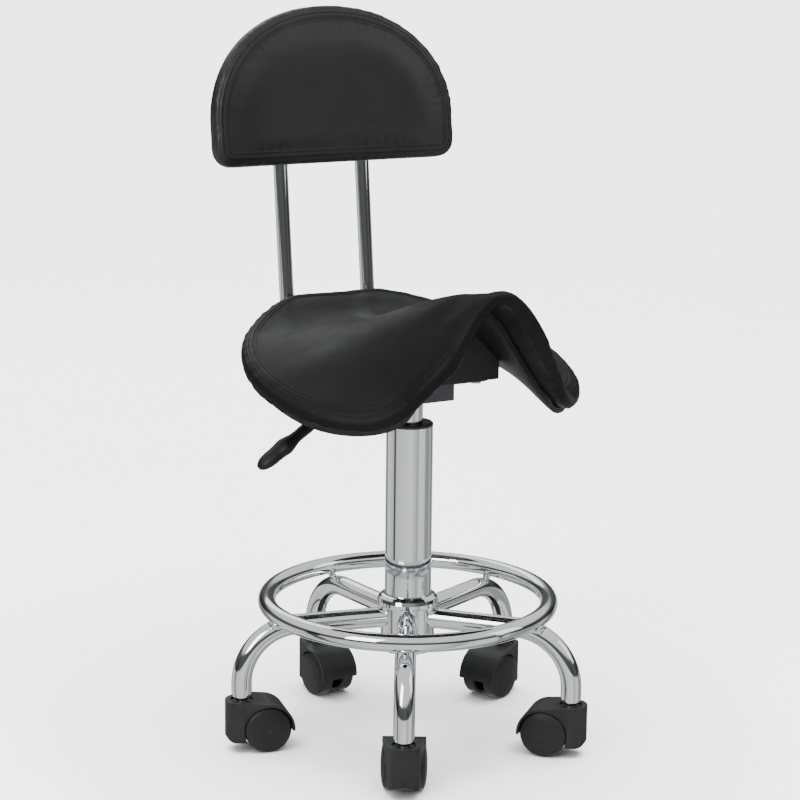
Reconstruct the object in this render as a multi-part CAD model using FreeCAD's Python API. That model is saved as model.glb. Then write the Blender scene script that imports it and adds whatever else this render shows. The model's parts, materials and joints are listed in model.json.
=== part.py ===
"""Dentist stool: saddle seat with a D-shaped backrest, gas lift and a five-leg caster base.

Millimetres, +Z up. The origin is on the floor, on the axis of the lift column. The sitter
faces -Y, so +X is the sitter's left. Each sub-part is one STEP file in parts/.
"""
import FreeCAD, Part
import os
from math import atan, cos, pi, radians, sin, sqrt, tan

V = FreeCAD.Vector

# ---- clearances ---------------------------------------------------------------------------
soft_gap = 0.3            # between a soft or moulded piece and its neighbour
run_gap = 0.05            # radial, round a turning or sliding shaft
guide_gap = 0.08          # radial, between the gas cylinder and its guide bush
wheel_gap = 0.9           # between a wheel and its housing
stack_gap = 0.1           # between the lift's end plate and the thrust bearing

# ---- base ---------------------------------------------------------------------------------
leg_count = 5
base_turn = -30.7         # degrees, first leg from straight ahead of the sitter
stem_radius = 184.0       # caster stems from the column axis
leg_d = 22.0
leg_wall = 1.5
leg_bend = 60.0           # centreline radius
leg_drop = 11.0           # straight end below the bend
hub_d = 58.0
hub_below = 36.0          # hub's underside below the legs' centreline
hub_above = 20.0          # hub's top above it
cap_d = 66.0
cap_skirt = 6.0
cap_rise = 6.0
ring_radius = 152.0
ring_d = 19.0
ring_wall = 1.5
ring_gap = 2.75           # between the ring and a leg, bridged by a stud
ring_vent_d = 5.0
stud_d = 8.0

# ---- column and gas lift ------------------------------------------------------------------
column_d = 50.0
column_wall = 1.6
column_length = 239.0
column_in = 48.0          # length of column inside the hub
column_taper = 0.0125     # radius lost per millimetre below the hub's top
end_plate_t = 4.0
bush_length = 70.0
bush_flange_t = 3.5
cylinder_d = 28.0
cylinder_wall = 2.0
cylinder_over = 41.5      # cylinder's top above the column at the lowest setting
cylinder_head = 10.5
taper_length = 15.5
taper_drop = 0.6          # radius lost over the taper
seal_t = 12.0
rod_d = 10.0
rod_below = 5.5           # rod's end below the column's end plate
piston_t = 12.0
piston_below = 18.5       # piston's top below the cylinder's at the lowest setting
clip_t = 2.5
clip_d = 17.0
clip_neck_d = 8.4
race_t = 1.5
race_d = 24.0
ball_d = 3.0
ball_count = 8
bump_d = 22.0
bump_t = 5.5
button_d = 8.0
button_over = 4.5         # button's top above the cylinder
button_flange_d = 11.0
button_flange_t = 2.0

# ---- seat mechanism -----------------------------------------------------------------------
block_over = 17.5         # mounting block's underside above the cylinder
plate_t = 3.0
plate_half_x = 56.0
plate_y0 = -72.0
plate_y1 = 42.0
plate_corner = 10.0
housing_half_x = 40.0
housing_side_gap = 2.5    # between the socket and a cheek
housing_t = 2.5
housing_depth = 29.0      # below the plate
socket_wall = 5.0
socket_length = 16.0      # from the socket's mouth to the cylinder's top
pivot_x = -24.0
pivot_d = 6.0
pivot_over = 2.0          # each end beyond the cheeks
lever_d = 7.0
lever_tip_x = 5.0
lever_boss_d = 11.6
lever_boss_half = 7.0
lever_bend_x = -36.0
lever_bend_r = 20.0
handle_root = (-116.0, -35.8)    # across, and below the lever's pivot
handle_tip = (-178.0, -76.8)
handle_root_w = 17.0
handle_w = 24.0
handle_t = 15.0
handle_grip = 14.0        # length of rod inside the handle
screw_d = 6.0
screw_head_d = 12.0
screw_head_t = 3.5
screw_bite = 14.0         # thread of the mechanism's screws in the block
bridge_bite = 8.0         # thread of the bridge's screws in the block
plate_screw_x = 44.0
plate_screw_y = (-60.0, 34.0)
bridge_screw_x = 22.0
bridge_screw_y = (60.0, 114.0)

# ---- saddle -------------------------------------------------------------------------------
# Stations from the front edge to the rear edge: y, half width, ridge and flank heights above
# the mounting block's underside, half width of the saddle's hump.
stations = (
    (-185.0, 60.0, 115.0, -14.0, 128.0),
    (-170.0, 82.0, 113.0, -14.0, 128.0),
    (-150.0, 105.0, 110.0, -14.0, 129.0),
    (-126.0, 128.0, 105.0, -15.0, 134.0),
    (-100.0, 150.0, 98.0, -11.0, 146.0),
    (-60.0, 172.0, 86.0, -4.0, 166.0),
    (-20.0, 181.0, 73.0, 5.0, 178.0),
    (20.0, 180.0, 58.0, 14.0, 180.0),
    (60.0, 170.0, 46.0, 24.0, 180.0),
    (105.0, 146.0, 40.0, 36.0, 180.0),
    (140.0, 113.0, 49.0, 48.0, 180.0),
    (163.0, 82.0, 57.0, 56.0, 180.0),
    (176.0, 58.0, 60.0, 59.0, 180.0),
)
foam_mid = 25.0
foam_rim = 22.0
foam_front = 15.0         # over the ridge at the front edge
foam_front_rim = 18.0
foam_blend_y = -40.0      # the foam thins out from here to the front edge
shell_t = 6.0
shell_gap = 1.2           # between the shell and the foam's underside
shell_inset = 14.0
shell_y0 = -140.0
shell_y1 = 150.0
block_half_x = 60.0
block_y0 = -80.0
block_y1 = 130.0
outline_points = 13

# ---- backrest -----------------------------------------------------------------------------
rest_rod_d = 16.0
rest_rod_wall = 1.5
rest_rod_x = 51.0
rest_rod_y0 = 50.0
rest_rod_bend = 45.0
rest_rod_top = 128.0      # above the pad's bottom, along the rod
lean = 6.16               # degrees, backwards
rest_y = 203.0            # rod axis at the height of the pad's bottom
rest_over = 197.0         # pad's bottom above the mounting block's underside
bridge_t = 3.0
bridge_y1 = 128.0
bridge_gap = 4.0          # between the mechanism plate and the bridge
cap_plug = 8.0
cap_t = 2.0
pad_half_w = 145.0
pad_side_h = 46.0         # height of the widest place
pad_h = 173.0
pad_corner = 20.0
pad_power = 2.12          # roundness of the D's upper edge
pad_curve = 876.0         # radius of the hollow that faces the sitter's back
front_pad_t = 20.0
board_t = 7.0
rear_pad_t = 22.0
board_inset = 12.0
rest_screw_d = 5.0
rest_screw_head_d = 9.0
rest_screw_head_t = 1.4
rest_screw_v = (40.0, 104.0)
rest_screw_bite = 5.0     # thread in the board

# ---- casters ------------------------------------------------------------------------------
wheel_d = 50.0
wheel_half_w = 24.2       # from the caster's middle to the crown of a wheel's face
wheel_inner = 6.6         # from the caster's middle to a wheel's inner edge
wheel_rim_t = 3.5
wheel_boss_d = 14.0
tread_edge = 20.0         # where the domed face begins
axle_d = 6.0
trail = 25.0
hood_t = 2.6
hood_half_w = 22.6
hood_end_z = 23.0
web_half = 5.7
holder_d = 36.0
holder_gap = 4.0          # between the housing's top and the leg's flange
holder_z0 = 12.0
holder_toe_r = 7.0
dish_d = 24.0
dish_depth = 2.0
stem_d = 10.0
stem_bite = 20.0          # length of stem inside the housing
stem_reach = 14.0         # length of stem above the leg's open end
stem_over = 10.0          # leg's flange above the top of a wheel
collar_d = 14.0
collar_t = 3.4
flange_d = 20.0
flange_t = 3.0

# ---- worked out ---------------------------------------------------------------------------
flange_z = wheel_d + stem_over
leg_end_z = flange_z + flange_t
holder_top_z = flange_z - holder_gap
stem_z0 = holder_top_z - stem_bite
stem_z1 = leg_end_z + stem_reach
leg_z = leg_end_z + leg_drop + leg_bend
hub_z0 = leg_z - hub_below
hub_z1 = leg_z + hub_above
column_z0 = hub_z1 - column_in
column_z1 = column_z0 + column_length
rod_z0 = column_z0 - rod_below
cylinder_z1 = column_z1 + cylinder_over
piston_top_z = cylinder_z1 - piston_below
button_top_z = cylinder_z1 + button_over
lever_z = button_top_z + soft_gap + lever_d / 2
block_z = cylinder_z1 + block_over
plate_z = block_z - plate_t
housing_z = plate_z - housing_depth
socket_r = cylinder_d / 2 + socket_wall
housing_half_y = socket_r + housing_side_gap + housing_t
rest_z = block_z + rest_over
bend_r0 = stem_radius - leg_bend
bend_z = leg_z - leg_bend
ring_out = max(0.0, ring_radius - bend_r0)
ring_clear = leg_bend + leg_d / 2 + ring_gap + ring_d / 2
ring_z = bend_z + sqrt(ring_clear ** 2 - ring_out ** 2)
column_bore = column_d / 2 - column_wall
cylinder_bore = cylinder_d / 2 - cylinder_wall
bearing_z = column_z0 + end_plate_t + stack_gap
bump_z0 = bearing_z + 2 * race_t + ball_d + stack_gap
cylinder_z0 = bump_z0 + bump_t + soft_gap
bridge_z = block_z - bridge_t
rest_rod_z = bridge_z - rest_rod_d / 2
bridge_y0 = plate_y1 + bridge_gap
wheel_z = wheel_d / 2
hood_r = wheel_d / 2 + wheel_gap + hood_t


def save(name, shape):
    """Write one sub-part as parts/NAME.step."""
    if not shape.isValid():
        raise ValueError(name + " is not a valid solid")
    shape.exportStep("parts/%s.step" % name)
    print(name, len(shape.Solids), round(shape.Volume))


def tube_between(p, q, r):
    """A round bar of radius r from p to q."""
    return Part.makeCylinder(r, (q - p).Length, p, q - p)


def turned(points):
    """A solid of revolution about Z from (radius, z) points."""
    corners = [V(r, 0, z) for r, z in points]
    face = Part.Face(Part.makePolygon(corners + corners[:1]))
    return face.revolve(V(0, 0, 0), V(0, 0, 1), 360)


def sleeve(r0, r1, z0, z1):
    """A ring between two radii and two heights."""
    return turned(((r0, z0), (r1, z0), (r1, z1), (r0, z1)))


def plate(x0, x1, y0, y1, z0, t, corner):
    """A flat plate with rounded corners."""
    box = Part.makeBox(x1 - x0, y1 - y0, t, V(x0, y0, z0))
    uprights = [e for e in box.Edges if abs(e.Vertexes[0].Z - e.Vertexes[1].Z) > t / 2]
    return box.makeFillet(corner, uprights)


def spline(points):
    """A smooth curve through the points."""
    curve = Part.BSplineCurve()
    curve.interpolate(points)
    return curve.toShape()


def to_leg(shape, i):
    """Turn a shape made along +X onto leg i."""
    shape = shape.copy()
    shape.rotate(V(0, 0, 0), V(0, 0, 1), base_turn + 360.0 / leg_count * i - 90)
    return shape


def join(shapes):
    """Fuse pieces of one solid and merge their faces."""
    body = shapes[0].fuse(list(shapes[1:]))
    return body.removeSplitter()


# ---- base pieces --------------------------------------------------------------------------

def leg_bar(r):
    """The leg's line at radius r: level, a quarter bend, then straight down."""
    level = tube_between(V(0, 0, leg_z), V(bend_r0, 0, leg_z), r)
    section = Part.Face(Part.Wire(Part.makeCircle(r, V(bend_r0, 0, leg_z), V(1, 0, 0))))
    elbow = section.revolve(V(bend_r0, 0, bend_z), V(0, 1, 0), 90)
    drop = tube_between(V(stem_radius, 0, bend_z), V(stem_radius, 0, leg_end_z), r)
    return join([level, elbow, drop])


def ring_bar(r):
    """The foot ring's line at radius r."""
    return Part.makeTorus(ring_radius, r, V(0, 0, ring_z), V(0, 0, 1))


def make_base():
    """Hub, legs, foot ring, studs and the sockets that hold the caster stems."""
    hub_r = hub_d / 2
    bore_top = column_d / 2
    bore_low = bore_top - column_taper * (hub_z1 - hub_z0)
    save("hub", turned(((bore_low, hub_z0), (hub_r, hub_z0), (hub_r, hub_z1), (bore_top, hub_z1))))
    cap_r = cap_d / 2
    cap = turned((
        (hub_r, hub_z1 - cap_skirt),
        (cap_r - 1.0, hub_z1 - cap_skirt),
        (cap_r, hub_z1 - cap_skirt + 1.5),
        (cap_r, hub_z1 - 1.0),
        (cap_r - 1.2, hub_z1 + cap_rise * 0.45),
        (cap_r - 4.0, hub_z1 + cap_rise * 0.85),
        (cap_r - 6.0, hub_z1 + cap_rise),
        (bore_top + run_gap, hub_z1 + cap_rise),
        (bore_top + run_gap, hub_z1),
        (hub_r, hub_z1),
    ))
    save("hub_cap", cap)

    outer = leg_bar(leg_d / 2)
    core = Part.makeCylinder(hub_r, 4 * leg_d, V(0, 0, leg_z - 2 * leg_d))
    leg = outer.cut(leg_bar(leg_d / 2 - leg_wall)).cut(core)
    for i in range(leg_count):
        save("leg_%d" % (i + 1), to_leg(leg, i))

    ring = ring_bar(ring_d / 2).cut(ring_bar(ring_d / 2 - ring_wall))
    vent = Part.makeCylinder(ring_vent_d / 2, ring_d, V(ring_radius, 0, ring_z - ring_d))
    vent.rotate(V(0, 0, 0), V(0, 0, 1), base_turn - 90 + 180.0 / leg_count)
    save("foot_ring", ring.cut(vent))

    toward = V(ring_out, 0, ring_z - bend_z).normalize()
    foot = V(ring_radius - ring_out, 0, bend_z) + toward * (leg_bend + leg_d / 2 - stud_d / 4)
    head = V(ring_radius, 0, ring_z) - toward * (ring_d / 2 - stud_d / 4)
    stud = tube_between(foot, head, stud_d / 2).cut(outer).cut(ring_bar(ring_d / 2))
    save("ring_studs", Part.makeCompound([to_leg(stud, i) for i in range(leg_count)]))

    stem_hole = stem_d / 2 + run_gap
    plug_r = leg_d / 2 - leg_wall
    socket = turned((
        (stem_hole, flange_z),
        (flange_d / 2, flange_z),
        (flange_d / 2, leg_end_z),
        (plug_r, leg_end_z),
        (plug_r, bend_z),
        (stem_hole, bend_z),
    ))
    socket.translate(V(stem_radius, 0, 0))
    save("stem_sockets", Part.makeCompound([to_leg(socket, i) for i in range(leg_count)]))


# ---- column and gas lift ------------------------------------------------------------------

def make_column():
    """The outer column with its end plate and guide bush."""
    r = column_d / 2
    low = r - column_taper * (hub_z1 - column_z0)
    tube = turned((
        (column_bore, column_z0),
        (low, column_z0),
        (r, hub_z1),
        (r, column_z1),
        (column_bore, column_z1),
    ))
    save("column_tube", tube)
    hole = rod_d / 2 + run_gap
    save("column_end_plate", sleeve(hole, column_bore, column_z0, column_z0 + end_plate_t))
    bore = cylinder_d / 2 + guide_gap
    top = column_z1 + bush_flange_t
    bush = turned((
        (bore, column_z1 - bush_length),
        (column_bore, column_z1 - bush_length),
        (column_bore, column_z1),
        (r, column_z1),
        (r, top - 1.2),
        (r - 1.2, top),
        (bore + 1.2, top),
        (bore, top - 1.2),
    ))
    save("guide_bush", bush)


def make_piston_rod():
    """The piston rod that stands on the thrust bearing and turns with the seat."""
    r = rod_d / 2
    clip_z1 = column_z0 - 2 * stack_gap
    clip_z0 = clip_z1 - clip_t
    neck = clip_neck_d / 2
    rod = turned((
        (0, rod_z0),
        (r - 1.0, rod_z0),
        (r, rod_z0 + 1.0),
        (r, clip_z0),
        (neck, clip_z0),
        (neck, clip_z1),
        (r, clip_z1),
        (r, piston_top_z - piston_t),
        (0, piston_top_z - piston_t),
    ))
    save("piston_rod", rod)
    save("rod_clip", sleeve(neck, clip_d / 2, clip_z0, clip_z1))
    piston_z = piston_top_z - piston_t
    save("piston", sleeve(0, cylinder_bore - run_gap, piston_z, piston_top_z))

    track = (r + race_d / 2) / 2
    upper = bearing_z + race_t + ball_d
    parts = [
        sleeve(r, race_d / 2, bearing_z, bearing_z + race_t),
        sleeve(r, race_d / 2, upper, upper + race_t),
    ]
    for i in range(ball_count):
        a = 2 * pi * i / ball_count
        centre = V(track * cos(a), track * sin(a), bearing_z + race_t + ball_d / 2)
        parts.append(Part.makeSphere(ball_d / 2, centre))
    save("thrust_bearing", Part.makeCompound(parts))
    save("bump_cushion", sleeve(r, bump_d / 2, bump_z0, bump_z0 + bump_t))


def make_gas_cylinder():
    """The gas cylinder that slides up in the guide bush, and its valve button."""
    r = cylinder_d / 2
    hole = button_d / 2 + run_gap
    cylinder = turned((
        (cylinder_bore, cylinder_z0),
        (r, cylinder_z0),
        (r, cylinder_z1 - taper_length),
        (r - taper_drop, cylinder_z1),
        (hole, cylinder_z1),
        (hole, cylinder_z1 - cylinder_head),
        (cylinder_bore, cylinder_z1 - cylinder_head),
    ))
    save("gas_cylinder", cylinder)
    seal_z = cylinder_z0 + 1.0
    save("rod_seal", sleeve(rod_d / 2 + run_gap, cylinder_bore, seal_z, seal_z + seal_t))
    flange_top = cylinder_z1 - cylinder_head - stack_gap
    button = turned((
        (0, flange_top - button_flange_t),
        (button_flange_d / 2, flange_top - button_flange_t),
        (button_flange_d / 2, flange_top),
        (button_d / 2, flange_top),
        (button_d / 2, button_top_z - 0.8),
        (button_d / 2 - 0.8, button_top_z),
        (0, button_top_z),
    ))
    save("valve_button", button)


# ---- seat mechanism -----------------------------------------------------------------------

def screw(x, y, head_z, length):
    """A pan-head screw under a plate, pointing up."""
    shank = Part.makeCylinder(screw_d / 2, length, V(x, y, head_z))
    head = Part.makeCylinder(screw_head_d / 2, screw_head_t, V(x, y, head_z - screw_head_t))
    rim = [e for e in head.Edges if e.BoundBox.ZMax < head_z - screw_head_t / 2]
    return join([shank, head.makeFillet(screw_head_t * 0.4, rim)])


def drill(shape, places, z0, z1, d):
    """Cut round holes through a plate."""
    for x, y in places:
        shape = shape.cut(Part.makeCylinder(d / 2, z1 - z0, V(x, y, z0)))
    return shape


def screw_places(xs, ys):
    """Both sides of the middle at each y."""
    return [(side * xs, y) for side in (-1, 1) for y in ys]


def make_mechanism():
    """The pressed plate, the lever housing, the tapered socket and the pivot pin."""
    places = screw_places(plate_screw_x, plate_screw_y)
    blank = plate(-plate_half_x, plate_half_x, plate_y0, plate_y1, plate_z, plate_t, plate_corner)
    save("mechanism_plate", drill(blank, places, plate_z, block_z, screw_d))
    screws = [screw(x, y, plate_z, plate_t + screw_bite) for x, y in places]
    save("mechanism_screws", Part.makeCompound(screws))

    hx = housing_half_x
    hy = housing_half_y
    t = housing_t
    outside = Part.makeBox(2 * hx, 2 * hy, housing_depth, V(-hx, -hy, housing_z))
    inside = Part.makeBox(4 * hx, 2 * (hy - t), housing_depth, V(-2 * hx, -hy + t, housing_z + t))
    housing = outside.cut(inside)
    housing = housing.cut(Part.makeCylinder(socket_r, 4 * t, V(0, 0, housing_z - t)))
    pin_from = V(pivot_x, -hy - pivot_over, lever_z)
    pin_to = V(pivot_x, hy + pivot_over, lever_z)
    pin = tube_between(pin_from, pin_to, pivot_d / 2)
    save("mechanism_housing", housing.cut(pin))
    save("lever_pivot", pin)

    r = cylinder_d / 2
    start = cylinder_z1 - taper_length
    top = cylinder_z1 - 0.5
    r_top = r - taper_drop * (top - start) / taper_length
    mouth = cylinder_z1 - socket_length
    socket = turned(((r, mouth), (socket_r, mouth), (socket_r, top), (r_top, top), (r, start)))
    save("mechanism_socket", socket)


def lever_line():
    """The lever rod's corner points in the XZ plane, from the button to inside the handle."""
    bend = (lever_bend_x, lever_z)
    slope = handle_root[1] / (handle_root[0] - lever_bend_x)
    run = handle_grip * cos(atan(slope))
    end = (handle_root[0] - run, lever_z + handle_root[1] - run * slope)
    return (lever_tip_x, lever_z), bend, end


def bent_bar(p, q, s, bend, r):
    """A round bar from p to s with an arc of radius bend at the corner q."""
    a = (p - q).normalize()
    b = (s - q).normalize()
    half = a.getAngle(b) / 2
    cut = bend / tan(half)
    start = q + a * cut
    stop = q + b * cut
    middle = q + (a + b).normalize() * (bend / sin(half) - bend)
    edges = [
        Part.LineSegment(p, start).toShape(),
        Part.Arc(start, middle, stop).toShape(),
        Part.LineSegment(stop, s).toShape(),
    ]
    profile = Part.Wire(Part.makeCircle(r, p, a))
    return Part.Wire(edges).makePipeShell([profile], True, True)


def make_lever():
    """The height lever: a bent rod with a pivot boss, and a moulded handle."""
    tip, bend, end = [V(x, 0, z) for x, z in lever_line()]
    rod = bent_bar(tip, bend, end, lever_bend_r, lever_d / 2)
    boss_from = V(pivot_x, -lever_boss_half, lever_z)
    boss_to = V(pivot_x, lever_boss_half, lever_z)
    bore = tube_between(boss_from, boss_to, pivot_d / 2 + run_gap)
    lever = join([rod, tube_between(boss_from, boss_to, lever_boss_d / 2)]).cut(bore)
    save("lever_rod", lever)

    root = V(handle_root[0], 0, lever_z + handle_root[1])
    point = V(handle_tip[0], 0, lever_z + handle_tip[1])
    length = (point - root).Length
    root_r = handle_root_w / 2
    grip_r = handle_w / 2
    profile = spline([
        V(root_r, 0, 0),
        V(root_r + 0.2, 0, length * 0.18),
        V(root_r + 0.8, 0, length * 0.36),
        V(grip_r + 1.0, 0, length * 0.52),
        V(grip_r - 0.2, 0, length * 0.64),
        V(grip_r - 0.6, 0, length * 0.80),
        V(grip_r * 0.7, 0, length * 0.94),
        V(grip_r * 0.3, 0, length),
    ])
    edges = [
        profile,
        Part.makeLine(V(grip_r * 0.3, 0, length), V(0, 0, length)),
        Part.makeLine(V(0, 0, length), V(0, 0, 0)),
        Part.makeLine(V(0, 0, 0), V(root_r, 0, 0)),
    ]
    handle = Part.Face(Part.Wire(edges)).revolve(V(0, 0, 0), V(0, 0, 1), 360)
    flatten = FreeCAD.Matrix()
    flatten.scale(handle_t / handle_w, 1.0, 1.0)
    handle = handle.transformGeometry(flatten)
    handle.Placement = FreeCAD.Placement(root, FreeCAD.Rotation(V(0, 0, 1), point - root))
    save("lever_handle", handle.cut(rod))


# ---- saddle -------------------------------------------------------------------------------

def foam(y, u):
    """Foam thickness at y, at the share u of the half width."""
    front = min(1.0, max(0.0, (foam_blend_y - y) / (foam_blend_y - stations[0][0])))
    mid = foam_mid + (foam_front - foam_mid) * front
    rim = foam_rim + (foam_front_rim - foam_rim) * front
    return mid + (rim - mid) * u * u


def saddle_curve(station, inset, depth):
    """Points across the saddle at a station, depth below the top along the curve's normal.

    depth is a function of the share of the half width.
    """
    y, half, ridge, flank, hump = station
    reach = half - inset
    points = []
    for i in range(outline_points):
        u = -cos(pi * i / (outline_points - 1))
        x = reach * u
        phase = pi * min(1.0, abs(x) / hump)
        z = block_z + flank + (ridge - flank) * (0.5 + 0.5 * cos(phase))
        slope = -(ridge - flank) * 0.5 * sin(phase) * pi / hump
        if x < 0:
            slope = -slope
        down = depth(abs(x) / half)
        scale = down / sqrt(1 + slope * slope)
        points.append(V(x + slope * scale, y, z - scale))
    return points


def band(rows, upper, lower, inset):
    """A closed solid between two depths below the saddle's top, lofted along Y."""
    wires = []
    for row in rows:
        top = saddle_curve(row, inset, lambda u: upper(row[0], u))
        low = saddle_curve(row, inset, lambda u: lower(row[0], u))
        low.reverse()
        edges = [
            spline(top),
            Part.makeLine(top[-1], low[0]),
            spline(low),
            Part.makeLine(low[-1], top[0]),
        ]
        wires.append(Part.Wire(edges))
    return Part.makeLoft(wires, True, False)


def between(y, rows):
    """A station at y, worked out from the two beside it."""
    for a, b in zip(rows, rows[1:]):
        if a[0] <= y <= b[0]:
            k = (y - a[0]) / (b[0] - a[0])
            return tuple(p + (q - p) * k for p, q in zip(a, b))
    raise ValueError("no station at y = %g" % y)


def shell_top(y, u):
    """Depth of the shell's upper face."""
    return foam(y, u) + shell_gap


def shell_low(y, u):
    """Depth of the shell's lower face."""
    return shell_top(y, u) + shell_t


def make_saddle():
    """The padded saddle, the moulded shell under it and the mounting block."""
    save("seat_cushion", band(stations, lambda y, u: 0.0, foam, 0.0))

    inner = [s for s in stations if shell_y0 + 8 < s[0] < shell_y1 - 8]
    rows = [between(shell_y0, stations)] + inner + [between(shell_y1, stations)]
    save("seat_shell", band(rows, shell_top, shell_low, shell_inset))

    lid_z = block_z + 4 * block_half_x
    corner = V(-block_half_x, block_y0, block_z)
    blank = Part.makeBox(2 * block_half_x, block_y1 - block_y0, 2 * block_half_x, corner)
    above = []
    for row in rows:
        low = saddle_curve(row, shell_inset, lambda u: shell_low(row[0], u))
        lid_right = V(low[-1].x, row[0], lid_z)
        lid_left = V(low[0].x, row[0], lid_z)
        edges = [
            spline(low),
            Part.makeLine(low[-1], lid_right),
            Part.makeLine(lid_right, lid_left),
            Part.makeLine(lid_left, low[0]),
        ]
        above.append(Part.Wire(edges))
    block = blank.cut(Part.makeLoft(above, True, False))
    plate_holes = screw_places(plate_screw_x, plate_screw_y)
    block = drill(block, plate_holes, block_z, block_z + screw_bite, screw_d)
    bridge_holes = screw_places(bridge_screw_x, bridge_screw_y)
    save("mounting_block", drill(block, bridge_holes, block_z, block_z + bridge_bite, screw_d))


# ---- backrest -----------------------------------------------------------------------------

def place_rest(shape):
    """Lean a shape made upright at the origin and put it at the pad's bottom."""
    shape = shape.copy()
    shape.rotate(V(0, 0, 0), V(1, 0, 0), -lean)
    shape.translate(V(0, rest_y, rest_z))
    return shape


def rest_rod_bar(side, r):
    """A backrest rod's line: level under the seat, a bend, then up into the pad."""
    slope = tan(radians(lean))
    corner = V(side * rest_rod_x, rest_y - slope * (rest_z - rest_rod_z), rest_rod_z)
    start = V(side * rest_rod_x, rest_rod_y0, rest_rod_z)
    up = V(0, sin(radians(lean)), cos(radians(lean)))
    top = V(side * rest_rod_x, rest_y, rest_z) + up * rest_rod_top
    return bent_bar(start, corner, top, rest_rod_bend, r)


def rest_outline(inset):
    """The D outline in the XZ plane, drawn inset from the pad's edge."""
    half = pad_half_w - inset
    low = inset
    side = max(pad_side_h, low + pad_corner)
    rise = pad_h - inset - side
    arch = []
    for i in range(outline_points):
        a = pi * i / (outline_points - 1)
        x = half * abs(cos(a)) ** (2 / pad_power)
        z = side + rise * sin(a) ** (2 / pad_power)
        arch.append(V(x if a < pi / 2 else -x, 0, z))
    corner = min(pad_corner, side - low - 1.0)
    k = corner * (1 - sqrt(0.5))
    right = V(half, 0, low + corner)
    left = V(-half, 0, low + corner)
    foot_right = V(half - corner, 0, low)
    foot_left = V(-half + corner, 0, low)
    edges = [
        spline(arch),
        Part.makeLine(arch[-1], left),
        Part.Arc(left, V(-half + k, 0, low + k), foot_left).toShape(),
        Part.makeLine(foot_left, foot_right),
        Part.Arc(foot_right, V(half - k, 0, low + k), right).toShape(),
        Part.makeLine(right, arch[0]),
    ]
    return Part.Face(Part.Wire(edges))


def rest_layer(y0, t, inset):
    """A D-shaped layer between two concentric curved faces, made upright."""
    face = rest_outline(inset)
    face.translate(V(0, -pad_curve / 4, 0))
    block = face.extrude(V(0, pad_curve / 2, 0))
    centre = V(0, y0 - pad_curve, -pad_h)
    outer = Part.makeCylinder(pad_curve + t, 3 * pad_h, centre)
    inner = Part.makeCylinder(pad_curve, 3 * pad_h, centre)
    return block.common(outer.cut(inner))


def make_backrest():
    """The rods, the bridge that carries them, and the layers of the back pad."""
    rods = {}
    for side, name in ((-1, "right"), (1, "left")):
        bar = rest_rod_bar(side, rest_rod_d / 2)
        rods[name] = bar.cut(rest_rod_bar(side, rest_rod_d / 2 - rest_rod_wall))

    rod_front = rest_rod_d / 2 + 2 * run_gap
    board_y = -rod_front - board_t
    board = rest_layer(board_y, board_t, board_inset)
    front = rest_layer(board_y - soft_gap - front_pad_t, front_pad_t, 0.0)
    rear = rest_layer(board_y + board_t + soft_gap, rear_pad_t, 0.0)

    screws = []
    sockets = []
    for side in (-1, 1):
        for v in rest_screw_v:
            tail = V(side * rest_rod_x, -rod_front - rest_screw_bite, v)
            neck = V(side * rest_rod_x, rest_rod_d / 2 - 0.6, v)
            head = neck + V(0, rest_screw_head_t, 0)
            shank = tube_between(tail, neck, rest_screw_d / 2)
            cap = tube_between(neck, head, rest_screw_head_d / 2)
            screws.append(join([shank, cap]))
            room = rest_screw_head_d / 2 + soft_gap
            sockets.append(tube_between(neck, head + V(0, soft_gap, 0), room))
            sockets.append(tube_between(tail, neck, rest_screw_d / 2 + soft_gap))
    screws = place_rest(Part.makeCompound(screws))
    save("backrest_screws", screws)
    for name, rod in rods.items():
        save("backrest_rod_" + name, rod.cut(screws))

    save("backrest_board", place_rest(board).cut(screws))
    save("backrest_cushion", place_rest(front))
    rear = place_rest(rear)
    for side in (-1, 1):
        rear = rear.cut(rest_rod_bar(side, rest_rod_d / 2 + soft_gap))
    save("backrest_rear_pad", rear.cut(place_rest(Part.makeCompound(sockets))))

    half = rest_rod_x + rest_rod_d / 2 + 1.0
    places = screw_places(bridge_screw_x, bridge_screw_y)
    bridge = plate(-half, half, bridge_y0, bridge_y1, bridge_z, bridge_t, plate_corner)
    save("backrest_bridge", drill(bridge, places, bridge_z, block_z, screw_d))
    bolts = [screw(x, y, bridge_z, bridge_t + bridge_bite) for x, y in places]
    save("bridge_screws", Part.makeCompound(bolts))

    caps = []
    for side in (-1, 1):
        mouth = V(side * rest_rod_x, rest_rod_y0, rest_rod_z)
        plug = tube_between(mouth, mouth + V(0, cap_plug, 0), rest_rod_d / 2 - rest_rod_wall)
        disc = tube_between(mouth - V(0, cap_t, 0), mouth, rest_rod_d / 2)
        caps.append(join([plug, disc]))
    save("rod_end_caps", Part.makeCompound(caps))


# ---- casters ------------------------------------------------------------------------------

def wheel_solid():
    """One wheel about the Y axis at the origin, its domed face towards +Y."""
    r = wheel_d / 2
    bore = axle_d / 2 + run_gap
    face_t = 2.4
    boss = wheel_boss_d / 2
    rim = r - wheel_rim_t
    floor_y = tread_edge - face_t
    wheel = turned([
        (bore, wheel_inner),
        (boss, wheel_inner),
        (boss, floor_y),
        (rim, floor_y),
        (rim, wheel_inner),
        (r - 1.0, wheel_inner),
        (r, wheel_inner + 1.0),
        (r, tread_edge - 1.2),
        (r - 0.8, tread_edge + 0.4),
        (r - 2.4, tread_edge + 1.5),
        (r - 7.0, tread_edge + 2.9),
        (r - 14.0, wheel_half_w - 0.35),
        (0, wheel_half_w),
        (0, tread_edge),
        (bore, tread_edge),
    ])
    wheel.rotate(V(0, 0, 0), V(1, 0, 0), -90)
    return wheel


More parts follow.
